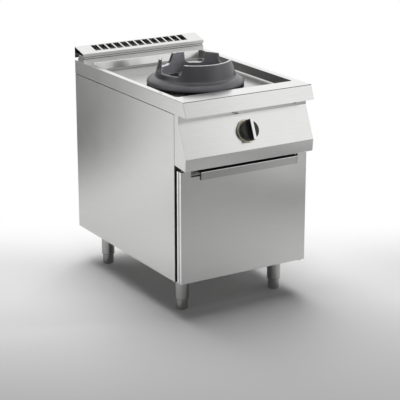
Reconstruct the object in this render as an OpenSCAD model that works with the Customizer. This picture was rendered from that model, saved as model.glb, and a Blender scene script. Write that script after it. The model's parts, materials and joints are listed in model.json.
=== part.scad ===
// Free-standing gas wok range: one burner under a cast-iron wok ring, one door.
// Millimetres, +Z up, the front faces -Y. The origin lies on the floor, at the
// middle of the footprint.

/* [Overall] */
// Width over the side panels
range_w = 600; // [560:10:700]
// Depth from the back of the flue cap to the tip of the worktop nose
range_d = 924; // [900:4:1000]
// Height of the worktop rim above the floor
worktop_h = 900; // [880:5:960]
// Thickness of the body sheet
sheet = 1.5; // [1:0.25:2]
// Height of the body's underside above the floor
leg_h = 151; // [130:1:170]

/* [Worktop] */
// Thickness of the worktop sheet
top_sheet = 2; // [1.5:0.25:2.5]
// Height of the worktop's skirt
skirt_h = 58; // [50:1:64]
// How far the nose's foot stands in front of its upper edge
nose_lean = 22; // [14:1:28]
// Width of the flat rim beside the basin
rim_w = 27; // [22:1:34]
// Width of the flat strip in front of the basin
front_strip = 92; // [80:1:110]
// Distance from the back to the basin
basin_back = 98; // [90:1:110]
// Depth of the basin
basin_depth = 38; // [30:1:44]
// How far the basin's walls lean in towards its floor
basin_lean = 9; // [4:1:14]
// Corner radius of the basin at the rim
basin_corner_r = 14; // [11:1:20]
// Distance from the back to the burner's centre
burner_back = 502; // [490:2:520]
// Radius of the burner hole in the basin floor
burner_hole_r = 150; // [140:1:156]
// Height of the collar round the burner hole
collar_h = 10; // [6:1:14]

/* [Flue] */
// Distance from the back to the flue riser
riser_back = 27; // [20:1:30]
// Depth of the flue riser
riser_d = 51; // [44:1:56]
// Height of the worktop's upstand round the riser
upstand_h = 14; // [10:1:18]
// Height of the cap's rear edge above the rim
cap_back_h = 58; // [54:1:66]
// Height of the cap's front edge above the rim
cap_front_h = 38; // [34:1:42]
// Height of the cap's front fascia
fascia_h = 14; // [10:1:18]
// Height of the cap's rear wall
cap_wall_h = 48; // [30:1:50]
// Number of slots in the cap
slot_count = 13; // [9:1:14]
// Distance from slot to slot
slot_pitch = 35.7; // [34:0.1:38]
// Width of a slot
slot_w = 28.5; // [22:0.5:30]
// Length of a slot along the slope
slot_l = 53; // [44:1:55]
// Distance from the cap's rear edge to the slots
slot_margin = 7; // [6:0.5:10]

/* [Control panel] */
// Distance from the worktop nose back to the recess under it
recess_back = 57; // [50:1:62]
// Height of the recess under the nose
recess_h = 30; // [26:1:34]
// Height of the slanted face
slant_h = 135; // [125:1:140]
// Height of the upright lip
lip_h = 49; // [44:1:54]
// How far the lip's lower edge stands back
lip_lean = 4; // [2:1:6]
// Rise of the panel's underside towards the back
panel_rise = 10; // [6:1:14]
// Distance from the slant's upper edge to the knob's centre, along the slant
knob_drop = 71; // [66:1:76]
// Distance from the middle of the front to the panel screws
screw_x = [-49, 245];
// Height of the panel screws above the recess's lower edge
screw_rise = 13; // [10:1:16]
// Radius of a panel screw's head
screw_head_r = 5; // [4:0.5:6]

/* [Knob and valve] */
// Radius of the knob's bezel
bezel_r = 47.5; // [44:0.5:52]
// Thickness of the bezel
bezel_t = 5; // [4:0.5:6]
// Radius of the knob's disc
knob_r = 38; // [34:0.5:42]
// Thickness of the knob's disc
knob_disc_t = 19; // [16:1:22]
// Half the length of the knob's grip bar
grip_half = 42; // [40:0.5:43.5]
// Width of the grip bar
grip_w = 14; // [12:0.5:16]
// Height of the grip bar in front of the disc
grip_h = 19; // [15:1:22]
// Thickness of the bright strip on the grip bar
strip_t = 1.5; // [1:0.25:2]
// Gap between the bezel and the knob
knob_gap = 4; // [3.5:0.25:5]
// How far the knob pushes in
press_travel = 3; // [2:0.25:3]
// Radius of the valve spindle
spindle_r = 5; // [4:0.25:6]
// Radial clearance of a turning shaft in its hole
shaft_gap = 0.05; // [0.03:0.01:0.08]

/* [Door] */
// Thickness of the door
door_t = 33; // [30:0.5:34]
// Gap between the door and the front edges of the body
door_gap = 13; // [12:0.5:14]
// How far each side of the door stands in from the side panels
door_inset = 3; // [2:0.5:4]
// Gap under the door, above the body's underside
door_rise = 2; // [1.5:0.25:3]
// Gap between the door and the control panel's lip
door_head_gap = 11; // [10:0.5:13]
// Depth of the front skin's folded edge
skin_edge = 13; // [11:0.5:14]
// Depth of the rear pan's folded hem
pan_hem = 11; // [9:0.5:12]
// Distance from the control panel's lip back to the door's front
door_setback = 36; // [34:0.5:40]

/* [Handle] */
// Distance from the door's side edges to the pocket in its top edge
pocket_margin = 45; // [40:1:60]
// Height of the pocket
pocket_h = 25.5; // [22:0.5:30]
// Depth of the pocket
pocket_d = 7; // [5:0.5:9]
// How far the shelf's ends stand in from the pocket's ends
shelf_step = 18; // [10:1:24]
// How far the bar's ends stand in from the shelf's ends
bar_step = 6.5; // [2:0.5:12]
// How far the handle stands out from the door
handle_out = 34; // [31:1:36]
// Height of the front bar
bar_h = 31.5; // [28:0.5:36]

/* [Hinges] */
// Distance from the door's right edge to the hinge axis
hinge_inset = 15; // [14:0.5:18]
// Distance from the door's back to the hinge axis
hinge_forward = 15; // [14:0.5:17]
// Radius of the hinge pins
hinge_pin_r = 4; // [3.5:0.25:4.5]
// Length of a hinge pin inside the door
hinge_pin_l = 14; // [12:1:18]
// Thickness of the hinge brackets
bracket_t = 4; // [3:0.5:5]
// Width of the hinge brackets
bracket_w = 18; // [16:1:22]
// Wall of the hinge bushes
bush_wall = 3; // [2.5:0.25:3.5]

/* [Cabinet] */
// Side of the square front posts
post_w = 20; // [18:1:24]
// Height of the front rail
rail_h = 40; // [34:1:50]
// How far the rail reaches below the door's upper edge
rail_lap = 15; // [10:1:20]

/* [Legs] */
// Distance from the sides of the body to the legs
leg_inset = 75; // [70:1:90]
// Distance from the front edges of the body back to the front legs
leg_front_inset = 73; // [68:1:90]
// Distance from the back to the rear legs
leg_rear_d = 128; // [120:1:140]
// Radius of the leg tubes
leg_r = 28; // [26:0.5:30]
// Wall of the leg tubes
leg_wall = 2; // [1.5:0.25:3]
// Side of the square plate on a leg
leg_plate_w = 90; // [84:1:100]
// Thickness of that plate
leg_plate_t = 4; // [3:0.5:5]
// Radius of the adjustable feet
foot_r = 24; // [22:0.5:25.5]
// Height of the visible part of the feet
foot_h = 46; // [40:1:50]
// Radius of the foot's lower edge
foot_round = 7; // [4:0.5:9]
// Radius of the foot's stem
stem_r = 8; // [7:0.5:9]
// Length of the foot's stem
stem_l = 72; // [66:1:76]
// Length of the guide in the leg tube
guide_l = 22; // [18:1:26]

/* [Wok ring] */
// Radius of the ring's flange
ring_r = 205; // [196:1:212]
// Height of the crown's teeth above the basin floor
crown_h = 104; // [96:1:110]
// Height of the gaps between the teeth above the basin floor
crown_gap_h = 56; // [52:1:62]
// Outer radius of the crown at the tips of its teeth
crown_r = 150; // [146:1:152]
// Wall of the ring
ring_wall = 9; // [8:0.5:10]
// Height of the pads under the flange
pad_h = 3; // [2:0.5:4]
// Angle taken up by the front shield
shield_angle = 100; // [90:1:108]
// Angle taken up by each of the three narrow teeth
tooth_angle = 23; // [20:1:28]
// Angle from tooth to tooth
tooth_pitch = 60; // [58:1:62]

/* [Burner] */
// Depth of the burner well below the basin floor
well_depth = 78; // [70:1:84]
// Radius of the well's drain-free bottom hole
well_hole_r = 44; // [40:1:48]
// Radius of the burner head
head_r = 68; // [62:1:76]
// Height of the burner head
head_h = 26; // [22:1:30]
// Number of flame ports in the burner cap
port_count = 32; // [20:2:36]
// Height of the burner cap
cap_h = 20; // [16:1:24]
// Radius of the mixing tube
tube_r = 22; // [20:0.5:25]
// Length of the mixing tube below the head
tube_l = 112; // [104:1:120]
// Radius of the gas pipe
pipe_r = 8; // [7:0.25:9]
// Distance from the side of the body to the gas pipe
pipe_inset = 48; // [44:1:54]
// Distance from the back to the gas pipe
pipe_back = 44; // [38:1:50]
// Height of the pipe's forward run above the cupboard ceiling
pipe_rise = 62; // [50:1:66]
// Wall of the gas inlet's fitting inside its thread
inlet_wall = 3.48; // [3.2:0.01:3.8]
// Radius of the gas inlet's thread
inlet_r = 10.48; // [10.2:0.01:10.6]
// Length of the gas inlet's thread
inlet_l = 18; // [14:1:20]

/* [Hidden] */
$fn = 96;

// A cut runs this far past the face that it opens
past = 1;
// Gap between curved or sliding faces of different pieces
clear = 0.3;

half_w = range_w / 2;

// Worktop levels and places. A name that ends in _d is a distance forward of the back
skirt_z = worktop_h - skirt_h;
floor_z = worktop_h - basin_depth;
nose_top_d = range_d - nose_lean;
basin_front = nose_top_d - front_strip;

// Control panel levels and places
recess_d = range_d - recess_back;
bend_z = skirt_z - recess_h;
lip_top_z = bend_z - slant_h;
lip_z = lip_top_z - lip_h;
lip_d = range_d - lip_lean;
slant_run = range_d - recess_d;
slant_angle = atan(slant_run / slant_h);
panel_wall = sheet / cos(slant_angle);

// Knob levels above the slanted face
knob_z = bezel_t + knob_gap;
grip_top = knob_z + knob_disc_t + grip_h;
strip_inset = 0.5;

// The foot of the knob's strip stands furthest forward, and the origin lies
// halfway between it and the back
strip_reach = knob_drop + grip_half - strip_inset;
front_d = recess_d + strip_reach * sin(slant_angle) + (grip_top + strip_t) * cos(slant_angle);
back_y = front_d / 2;
function ahead(d) = back_y - d;
burner_y = ahead(burner_back);

// Door levels and places
door_front_d = lip_d - door_setback;
door_back_d = door_front_d - door_t;
body_front_d = door_back_d - door_gap;
door_half = half_w - door_inset;
door_z0 = leg_h + door_rise;
door_z1 = lip_z - door_head_gap;
pocket_z = door_z1 - pocket_h;
pocket_half = door_half - pocket_margin;
shelf_half = pocket_half - shelf_step;
bar_half = shelf_half - bar_step;
hinge_x = door_half - hinge_inset;
hinge_y = ahead(door_back_d + hinge_forward);
bush_r = hinge_pin_r + shaft_gap + bush_wall;
bush_l = hinge_pin_l + 3;

// Cabinet levels
base_z = leg_h + sheet;
rail_z = door_z1 - rail_lap;
ceiling_top_z = rail_z + rail_h;
ceiling_z = ceiling_top_z - sheet;
inner_half = half_w - sheet;
leg_x = half_w - leg_inset;
leg_front_d = body_front_d - leg_front_inset;

// Flue places
riser_front_d = riser_back + riser_d;
riser_half = inner_half - top_sheet;
cap_front_d = riser_front_d - top_sheet + sheet;
cap_slope = atan((cap_back_h - cap_front_h) / cap_front_d);
// The riser ends this far below the cap's front edge
sill_drop = 8;
riser_h = cap_front_h - sheet - sill_drop;

// Stations of the wok ring's outer and inner profile: [radius, height over the floor]
wall_foot_r = crown_r + 15;
ring_out = [[ring_r, pad_h], [ring_r, pad_h + 4], [ring_r - 2, pad_h + 9], [ring_r - 8, pad_h + 17],
    [ring_r - 17, pad_h + 25], [ring_r - 28, pad_h + 33], [wall_foot_r + 3, pad_h + 40],
    [wall_foot_r - 3, pad_h + 48], [wall_foot_r - 7, pad_h + 60], [crown_r, crown_h]];
ring_in = [for (p = ring_out) [p[0] - ring_wall, p[1] - (p[1] > pad_h + 4 && p[1] < crown_h ? 5 : 0)]];
tooth_places = [90 - tooth_pitch, 90, 90 + tooth_pitch];
shield_place = 270;

// Burner levels
well_z = floor_z - well_depth;
head_z = floor_z - 2;
tube_z = head_z - tube_l;
well_wall_r = burner_hole_r - 2;
injector_z = tube_z - 14;

// Gas pipe route: up the rear right corner, then forward under the worktop
pipe_x = half_w - pipe_inset;
pipe_z = ceiling_top_z + pipe_rise;
pipe_hole_r = pipe_r + 0.5;
inlet_z = leg_h - inlet_l;

// Frame of the slanted face: its upper edge at the middle of the front, +Z outwards
module on_slant() {
    translate([0, ahead(recess_d), bend_z])
    rotate([90 - slant_angle, 0, 0])
    translate([0, -knob_drop, 0])
    children();
}
valve_reach = 62;
spindle_top = bezel_t + knob_gap + knob_disc_t - 5;

// Box given by its limits
module limits(x0, x1, y0, y1, z0, z1) {
    translate([x0, y0, z0]) cube([x1 - x0, y1 - y0, z1 - z0]);
}

// Box given across the width and by distances forward of the back
module slab(x0, x1, d0, d1, z0, z1) {
    limits(x0, x1, ahead(d1), ahead(d0), z0, z1);
}

// Profile of distances forward of the back and heights, drawn across the width
module across(points, x0, x1) {
    translate([x0, 0, 0])
    rotate([90, 0, 90])
    linear_extrude(x1 - x0)
    polygon([for (p = points) [ahead(p[0]), p[1]]]);
}

// Cabinet

module side_panel(side) {
    x0 = side < 0 ? -half_w : inner_half;
    slab(x0, x0 + sheet, 0, body_front_d, leg_h, skirt_z);
}
module side_panel_left() {
    color("silver") side_panel(-1);
}
module side_panel_right() {
    color("silver") side_panel(1);
}
module back_panel() {
    color("darkgray")
    slab(-inner_half, inner_half, 0, sheet, base_z, skirt_z);
}
module base_panel() {
    color("gray")
    difference() {
        slab(-inner_half, inner_half, 0, body_front_d, leg_h, base_z);
        translate([pipe_x, ahead(pipe_back), leg_h - past])
        cylinder(r = pipe_hole_r, h = sheet + 2 * past);
    }
}
module front_post(side) {
    x0 = side < 0 ? -inner_half : inner_half - post_w;
    difference() {
        slab(x0, x0 + post_w, body_front_d - post_w, body_front_d, base_z, skirt_z);
        slab(x0 + sheet, x0 + post_w - sheet, body_front_d - post_w + sheet,
            body_front_d - sheet, base_z - past, skirt_z + past);
    }
}
module front_post_left() {
    color("darkgray") front_post(-1);
}
module front_post_right() {
    color("darkgray") front_post(1);
}
module front_rail() {
    color("darkgray")
    difference() {
        slab(-inner_half + post_w, inner_half - post_w, body_front_d - post_w, body_front_d,
            rail_z, ceiling_top_z);
        slab(-inner_half + post_w - past, inner_half - post_w + past, body_front_d - post_w + sheet,
            body_front_d - sheet, rail_z + sheet, ceiling_z);
    }
}
module cupboard_ceiling() {
    color("gainsboro")
    difference() {
        slab(-inner_half, inner_half, sheet, body_front_d - post_w, ceiling_z, ceiling_top_z);
        translate([pipe_x, ahead(pipe_back), ceiling_z - past])
        cylinder(r = pipe_hole_r, h = sheet + 2 * past);
    }
}

// Worktop

// Rounded plate of a basin level, drawn in by a given amount
module basin_plate(inset, z, r) {
    x = half_w - rim_w - inset - r;
    for (sx = [-1, 1], d = [basin_back + inset + r, basin_front - inset - r])
        translate([sx * x, ahead(d), z])
        cylinder(r = r, h = 0.01, $fn = 32);
}
module basin_space(grow, top) {
    hull() {
        basin_plate(-grow, top, basin_corner_r + grow);
        basin_plate(basin_lean - grow, floor_z - grow, basin_corner_r + grow);
    }
}
module worktop() {
    outer = [[0, skirt_z], [0, worktop_h], [nose_top_d, worktop_h], [range_d, skirt_z]];
    inner = [[top_sheet, skirt_z - past], [top_sheet, worktop_h - top_sheet],
        [nose_top_d - top_sheet, worktop_h - top_sheet], [range_d - top_sheet * 1.1, skirt_z - past]];
    color("whitesmoke")
    difference() {
        union() {
            difference() {
                across(outer, -half_w, half_w);
                across(inner, -half_w + top_sheet, half_w - top_sheet);
            }
            basin_space(top_sheet, worktop_h - 0.01);
            translate([0, burner_y, floor_z - top_sheet])
            cylinder(r = burner_hole_r + top_sheet, h = top_sheet + collar_h);
            slab(-inner_half, inner_half, riser_back, riser_front_d,
                worktop_h - top_sheet, worktop_h + upstand_h);
        }
        difference() {
            basin_space(0, worktop_h + past);
            translate([0, burner_y, floor_z - past])
            cylinder(r = burner_hole_r + top_sheet, h = collar_h + past);
        }
        translate([0, burner_y, floor_z - top_sheet - past])
        cylinder(r = burner_hole_r, h = top_sheet + collar_h + 2 * past);
        slab(-riser_half, riser_half, riser_back + top_sheet, riser_front_d - top_sheet,
            worktop_h - top_sheet - past, worktop_h + upstand_h + past);
    }
}

// Flue

module flue_riser() {
    z0 = worktop_h - top_sheet;
    z1 = worktop_h + riser_h;
    d0 = riser_back + top_sheet;
    d1 = riser_front_d - top_sheet;
    color("lightgray")
    difference() {
        slab(-riser_half, riser_half, d0, d1, z0, z1);
        slab(-riser_half + sheet, riser_half - sheet, d0 + sheet, d1 - sheet, z0 - past, z1 + past);
    }
}
module flue_cap() {
    back_z = worktop_h + cap_back_h;
    front_z = worktop_h + cap_front_h;
    outer = [[0, back_z - cap_wall_h], [0, back_z],
        [cap_front_d, front_z], [cap_front_d, front_z - fascia_h]];
    inner = [[sheet, back_z - cap_wall_h - past], [sheet, back_z - sheet],
        [cap_front_d - sheet, front_z - sheet], [cap_front_d - sheet, front_z - fascia_h - past],
        [cap_front_d - sheet, worktop_h]];
    sill_z = worktop_h + riser_h;
    color("whitesmoke") {
        difference() {
            across(outer, -half_w, half_w);
            across(inner, -half_w - past, half_w + past);
            translate([0, ahead(0), back_z])
            rotate([cap_slope, 0, 0])
            for (i = [0 : slot_count - 1])
                translate([(i - (slot_count - 1) / 2) * slot_pitch - slot_w / 2,
                    -slot_margin - slot_l, -4 * sheet])
                cube([slot_w, slot_l, 8 * sheet]);
        }
        // Shelf inside the cap that carries it on the riser's rear wall
        slab(-half_w, half_w, sheet - 0.01, riser_back + top_sheet + sheet, sill_z, sill_z + sheet);
    }
}

// Control panel

module control_panel() {
    back_d = body_front_d;
    outer = [[back_d, skirt_z], [recess_d, skirt_z], [recess_d, bend_z], [range_d, lip_top_z],
        [lip_d, lip_z], [back_d, lip_z + panel_rise]];
    inner = [[back_d - past, skirt_z + past], [recess_d - sheet, skirt_z + past],
        [recess_d - sheet, bend_z], [range_d - panel_wall, lip_top_z],
        [lip_d - panel_wall, lip_z + sheet], [back_d - past, lip_z + panel_rise + sheet]];
    color("gainsboro")
    difference() {
        union() {
            difference() {
                across(outer, -half_w, half_w);
                across(inner, -inner_half, inner_half);
            }
            // Upper edge of the recess's sheet, which closes the space under the nose
            slab(-half_w + top_sheet, half_w - top_sheet, recess_d - sheet, recess_d,
                skirt_z - sheet, worktop_h - top_sheet);
        }
        on_slant()
        translate([0, 0, -6 * sheet])
        cylinder(r = spindle_r + 5, h = 8 * sheet);
        for (x = screw_x)
            translate([x, ahead(recess_d - 4 * sheet), bend_z + screw_rise])
            rotate([90, 0, 0])
            cylinder(r = screw_head_r / 2, h = 8 * sheet);
    }
}
module panel_screws() {
    color("dimgray")
    for (x = screw_x)
        translate([x, ahead(recess_d), bend_z + screw_rise])
        rotate([90, 0, 0]) {
            difference() {
                cylinder(r = screw_head_r, h = 3);
                translate([0, 0, 1.6])
                cylinder(r = screw_head_r / 2, h = 2, $fn = 6);
            }
            translate([0, 0, -8])
            cylinder(r = screw_head_r / 2 - 0.2, h = 8.01);
        }
}

// Knob and gas valve, in the frame of the slanted face

module knob_bezel() {
    color([0.75, 0.73, 0.66])
    on_slant()
    rotate_extrude()
    polygon([[spindle_r + 6, 0], [bezel_r, 0], [bezel_r, bezel_t - 2], [bezel_r - 2, bezel_t],
        [knob_r + 1, bezel_t], [knob_r - 1, bezel_t - 1.5], [spindle_r + 6, bezel_t - 1.5]]);
}
module knob() {
    grip_z = knob_z + 3;
    color([0.1, 0.1, 0.1])
    on_slant()
    difference() {
        union() {
            translate([0, 0, knob_z])
            cylinder(r = knob_r, h = knob_disc_t);
            limits(-grip_w / 2, grip_w / 2, -grip_half, grip_half,
                grip_z, grip_top);
        }
        translate([0, 0, knob_z - past])
        cylinder(r = spindle_r + shaft_gap, h = spindle_top - knob_z + past);
    }
}
module knob_strip() {
    half = grip_half - strip_inset;
    side = grip_w / 2 - 2 * strip_inset;
    color("silver")
    on_slant()
    limits(-side, side, -half, half, grip_top, grip_top + strip_t);
}
module valve_spindle() {
    color("goldenrod")
    on_slant()
    translate([0, 0, -valve_reach])
    cylinder(r = spindle_r, h = valve_reach + spindle_top);
}
collar_z = -panel_wall - press_travel - 14;
module spindle_collar() {
    color("silver")
    on_slant()
    translate([0, 0, collar_z])
    difference() {
        cylinder(r = spindle_r + 4, h = 3);
        translate([0, 0, -past])
        cylinder(r = spindle_r + shaft_gap, h = 3 + 2 * past);
    }
}
valve_top = collar_z - press_travel - 1;
valve_base = valve_top - 50;
valve_half = 17;
valve_side = 20;
port_l = 14;
port_z = valve_base + 15;
magnet_l = 16;
// Half sizes of the bracket that carries the valve
hoop_x = 34;
hoop_s = 24;
module gas_valve() {
    color("goldenrod")
    on_slant()
    difference() {
        union() {
            limits(-valve_half, valve_half, -valve_side, valve_side, valve_base, valve_top - 12);
            translate([0, 0, valve_top - 12.01])
            cylinder(r = 14, h = 12.01);
            // Inlet on the right, outlet on the left and the magnet unit behind
            translate([-valve_half - port_l, 0, port_z])
            rotate([0, 90, 0])
            cylinder(r = 12, h = 2 * (valve_half + port_l));
            translate([0, 0, valve_base - magnet_l])
            cylinder(r = 12, h = magnet_l + 0.01);
        }
        translate([0, 0, -valve_reach - press_travel - 2])
        cylinder(r = spindle_r + shaft_gap, h = valve_reach + press_travel + 2 + valve_top + past);
    }
}
module valve_bracket() {
    color("darkgray")
    on_slant()
    difference() {
        limits(-hoop_x, hoop_x, -hoop_s, hoop_s, valve_top, -sheet);
        limits(-hoop_x + sheet, hoop_x - sheet, -hoop_s - past, hoop_s + past, valve_top + sheet, past);
        translate([0, 0, valve_top - past])
        cylinder(r = spindle_r + 6, h = sheet + 2 * past);
    }
}

// Gas train

// Point of the slanted face's frame in the part's own frame
function slant_point(x, s, h) = [x,
    ahead(recess_d) - (knob_drop - s) * sin(slant_angle) - h * cos(slant_angle),
    bend_z - (knob_drop - s) * cos(slant_angle) + h * sin(slant_angle)];
valve_in = slant_point(valve_half + port_l, 0, port_z);
valve_out = slant_point(-valve_half - port_l, 0, port_z);
pilot_out = slant_point(0, -valve_side, valve_base + 8);

// Straight run of pipe from one point to another
module run(a, b, r) {
    v = b - a;
    l = norm(v);
    translate(a)
    rotate([0, acos(v[2] / l), atan2(v[1], v[0])])
    cylinder(r = r, h = l, $fn = 32);
}
// Pipe through a list of points, with a ball at each bend
module pipe(points, r) {
    for (i = [0 : len(points) - 2])
        run(points[i], points[i + 1], r);
    for (i = [1 : len(points) - 2])
        translate(points[i])
        sphere(r = r, $fn = 32);
}
module gas_pipe() {
    y = ahead(pipe_back);
    color("goldenrod")
    pipe([[pipe_x, y, leg_h], [pipe_x, y, pipe_z], [pipe_x, valve_in[1], pipe_z],
        [pipe_x, valve_in[1], valve_in[2]], valve_in], pipe_r);
}
module gas_inlet() {
    color("gold")
    translate([pipe_x, ahead(pipe_back), 0]) {
        difference() {
            translate([0, 0, inlet_z])
            cylinder(r = inlet_r, h = inlet_l);
            translate([0, 0, inlet_z - past])
            cylinder(r = inlet_r - inlet_wall, h = inlet_l + 2 * past);
        }
        translate([0, 0, base_z])
        difference() {
            cylinder(r = 16, h = 10, $fn = 6);
            translate([0, 0, -past])
            cylinder(r = pipe_r + clear, h = 12);
        }
    }
}
module burner_pipe() {
    low_z = injector_z - 20;
    turn = valve_out - [20, 0, 0];
    color("goldenrod")
    pipe([valve_out, turn, [turn[0], turn[1], low_z], [turn[0], burner_y, low_z],
        [0, burner_y, low_z], [0, burner_y, injector_z - 8]], pipe_r - 2);
}
module injector() {
    color("gold")
    translate([0, burner_y, injector_z - 8])
    difference() {
        union() {
            cylinder(r = 10, h = 10, $fn = 6);
            cylinder(r = 5, h = 18);
        }
        translate([0, 0, 12])
        cylinder(r = 1.2, h = 8);
    }
}

// Burner

module burner_well() {
    color("silver")
    translate([0, burner_y, 0])
    difference() {
        union() {
            translate([0, 0, well_z])
            cylinder(r = well_wall_r, h = well_depth + collar_h);
            // Rim that hangs the well on the collar
            translate([0, 0, floor_z + collar_h])
            cylinder(r = burner_hole_r + top_sheet + 2, h = sheet);
        }
        translate([0, 0, well_z + sheet])
        cylinder(r = well_wall_r - sheet, h = well_depth + collar_h + past);
        translate([0, 0, well_z - past])
        cylinder(r = well_hole_r, h = sheet + 2 * past);
    }
}
screw_circle = well_hole_r + 10;
module burner_body() {
    flange_z = well_z + sheet;
    color("dimgray")
    translate([0, burner_y, 0])
    difference() {
        rotate_extrude()
        polygon([[tube_r - 4, tube_z], [tube_r + 9, tube_z], [tube_r, tube_z + 22],
            [tube_r, flange_z], [screw_circle + 8, flange_z], [screw_circle + 8, flange_z + 5],
            [tube_r + 3, flange_z + 5], [tube_r + 3, head_z - 12], [head_r, head_z + 4],
            [head_r, head_z + head_h], [head_r - 6, head_z + head_h], [head_r - 6, head_z + 8],
            [tube_r - 4, head_z - 6]]);
        for (a = [0 : 120 : 240])
            rotate(a)
            translate([screw_circle, 0, flange_z - past])
            cylinder(r = 2.6, h = 5 + 2 * past);
    }
}
module burner_screws() {
    flange_top = well_z + sheet + 5;
    color("silver")
    translate([0, burner_y, flange_top])
    for (a = [0 : 120 : 240])
        rotate(a)
        translate([screw_circle, 0, 0]) {
            cylinder(r = 4.6, h = 4, $fn = 6);
            translate([0, 0, -4.5])
            cylinder(r = 2.4, h = 4.51);
        }
}
module burner_cap() {
    z0 = head_z + head_h;
    color([0.25, 0.25, 0.26])
    translate([0, burner_y, z0])
    difference() {
        rotate_extrude()
        polygon([[0, cap_h - 6], [head_r - 14, cap_h - 6], [head_r - 14, -5], [head_r - 6 - clear, -5],
            [head_r - 6 - clear, 0], [head_r + 3, 0], [head_r + 3, cap_h - 8], [head_r - 4, cap_h - 1],
            [head_r - 30, cap_h], [head_r - 34, cap_h - 3], [0, cap_h - 3]]);
        for (i = [0 : port_count - 1])
            rotate(i * 360 / port_count)
            translate([head_r - 16, -1.5, 3])
            cube([24, 3, 6]);
    }
}
pilot_place = 215;
pilot_ring_r = head_r + 22;
pilot_top = head_z + head_h + 4;
function round_burner(r, a, z) = [r * cos(a), burner_y + r * sin(a), z];
module pilot_burner() {
    color("gold")
    translate(round_burner(pilot_ring_r, pilot_place, 0)) {
        translate([0, 0, well_z + sheet])
        cylinder(r = 4.5, h = pilot_top - well_z - sheet);
        translate([0, 0, pilot_top - 6])
        cylinder(r = 7, h = 10, $fn = 6);
    }
}
// How far the probe's lead hangs below the magnet unit, and passes behind it
lead_drop = 22;
lead_clear = 33;
// Probe in the flame's edge, and its lead from under the well to the magnet unit
module thermocouple() {
    probe = round_burner(pilot_ring_r, pilot_place + 12, well_z);
    end = slant_point(0, 0, valve_base - magnet_l);
    low_z = end[2] - lead_drop;
    back = end[1] + lead_clear;
    color([0.72, 0.45, 0.2]) {
        translate(probe + [0, 0, sheet])
        cylinder(r = 3, h = pilot_top + 8 - well_z - sheet);
        pipe([probe, [probe[0], probe[1], low_z], [probe[0], back, low_z], [end[0], back, low_z],
            [end[0], back, end[2]], end], 1.5);
    }
}
// Height of the pilot pipe's level run over the cupboard's ceiling
pilot_rise = 20;
module pilot_pipe() {
    end = round_burner(pilot_ring_r, pilot_place, well_z);
    low_z = ceiling_top_z + pilot_rise;
    color([0.72, 0.45, 0.2])
    pipe([pilot_out, [pilot_out[0], pilot_out[1], low_z], [end[0], pilot_out[1], low_z],
        [end[0], end[1], low_z], end], 3);
}

// Wok ring

// Sector of the crown's height, between two angles
module sector(a0, a1, r, z0, z1) {
    n = ceil((a1 - a0) / 30);
    step = (a1 - a0) / n;
    reach = r / cos(step / 2);
    translate([0, 0, z0])
    linear_extrude(z1 - z0)
    polygon(concat([[0, 0]], [for (i = [0 : n]) [reach * cos(a0 + i * step), reach * sin(a0 + i * step)]]));
}
// The gaps of the crown, as pairs of angles
gap_angles = [
    [tooth_places[0] + tooth_angle / 2, tooth_places[1] - tooth_angle / 2],
    [tooth_places[1] + tooth_angle / 2, tooth_places[2] - tooth_angle / 2],
    [tooth_places[2] + tooth_angle / 2, shield_place - shield_angle / 2],
    [shield_place + shield_angle / 2, tooth_places[0] - tooth_angle / 2 + 360]];
module wok_ring() {
    n = len(ring_in) - 1;
    color([0.28, 0.28, 0.29])
    translate([0, burner_y, floor_z]) {
        difference() {
            rotate_extrude($fn = 120)
            polygon(concat(ring_out, [for (i = [0 : n]) ring_in[n - i]]));
            for (g = gap_angles)
                sector(g[0], g[1], ring_r, crown_gap_h, crown_h + past);
        }
        for (a = [45 : 90 : 315])
            rotate(a)
            translate([ring_r - ring_wall / 2, 0, 0])
            cylinder(r = 4, h = pad_h + 0.01);
    }
}

// Door

module door_skin() {
    d1 = door_front_d;
    d0 = d1 - skin_edge;
    color("darkgray")
    difference() {
        slab(-door_half, door_half, d0, d1, door_z0, door_z1);
        slab(-door_half + sheet, door_half - sheet, d0 - past, d1 - sheet,
            door_z0 + sheet, door_z1 - sheet);
        slab(-pocket_half, pocket_half, d0 - past, d1 + past, pocket_z, door_z1 + past);
        bush_holes();
    }
}
module bush_holes() {
    translate([hinge_x, hinge_y, door_z1 - bush_l - past])
    cylinder(r = bush_r, h = bush_l + 2 * past);
    translate([hinge_x, hinge_y, door_z0 - past])
    cylinder(r = bush_r, h = bush_l + 2 * past);
}
module door_pan() {
    d0 = door_back_d;
    hem_d = d0 + pan_hem;
    d1 = door_front_d - sheet;
    flange_d = door_front_d - pocket_d - sheet;
    half = door_half - sheet - clear;
    color("gray")
    difference() {
        union() {
            slab(-door_half, door_half, d0, hem_d, door_z0, door_z1);
            slab(-half, half, hem_d - 0.01, d1, door_z0 + sheet + clear, door_z1 - sheet - clear);
        }
        slab(-half + sheet, half - sheet, d0 + sheet, d1 + past,
            door_z0 + 2 * sheet + clear, door_z1 - 2 * sheet - clear);
        slab(-pocket_half - sheet, pocket_half + sheet, flange_d, d1 + past,
            pocket_z - sheet, door_z1 + past);
        bush_holes();
    }
}
module door_handle() {
    d0 = door_front_d - pocket_d;
    d1 = door_front_d + handle_out;
    shelf_z = door_z1 - sheet;
    half = pocket_half - clear;
    color("gainsboro") {
        slab(-half, half, d0 - sheet, d0, pocket_z - sheet + clear, door_z1);
        translate([0, 0, shelf_z])
        linear_extrude(sheet)
        polygon([[-half, ahead(d0 - 0.01)], [half, ahead(d0 - 0.01)], [half, ahead(door_front_d)],
            [shelf_half, ahead(door_front_d)], [bar_half, ahead(d1)], [-bar_half, ahead(d1)],
            [-shelf_half, ahead(door_front_d)], [-half, ahead(door_front_d)]]);
        slab(-bar_half, bar_half, d1 - sheet, d1, door_z1 - bar_h, door_z1);
        // Floor of the pocket
        slab(-half, half, d0 - sheet, door_front_d, pocket_z, pocket_z + sheet);
    }
}
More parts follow.
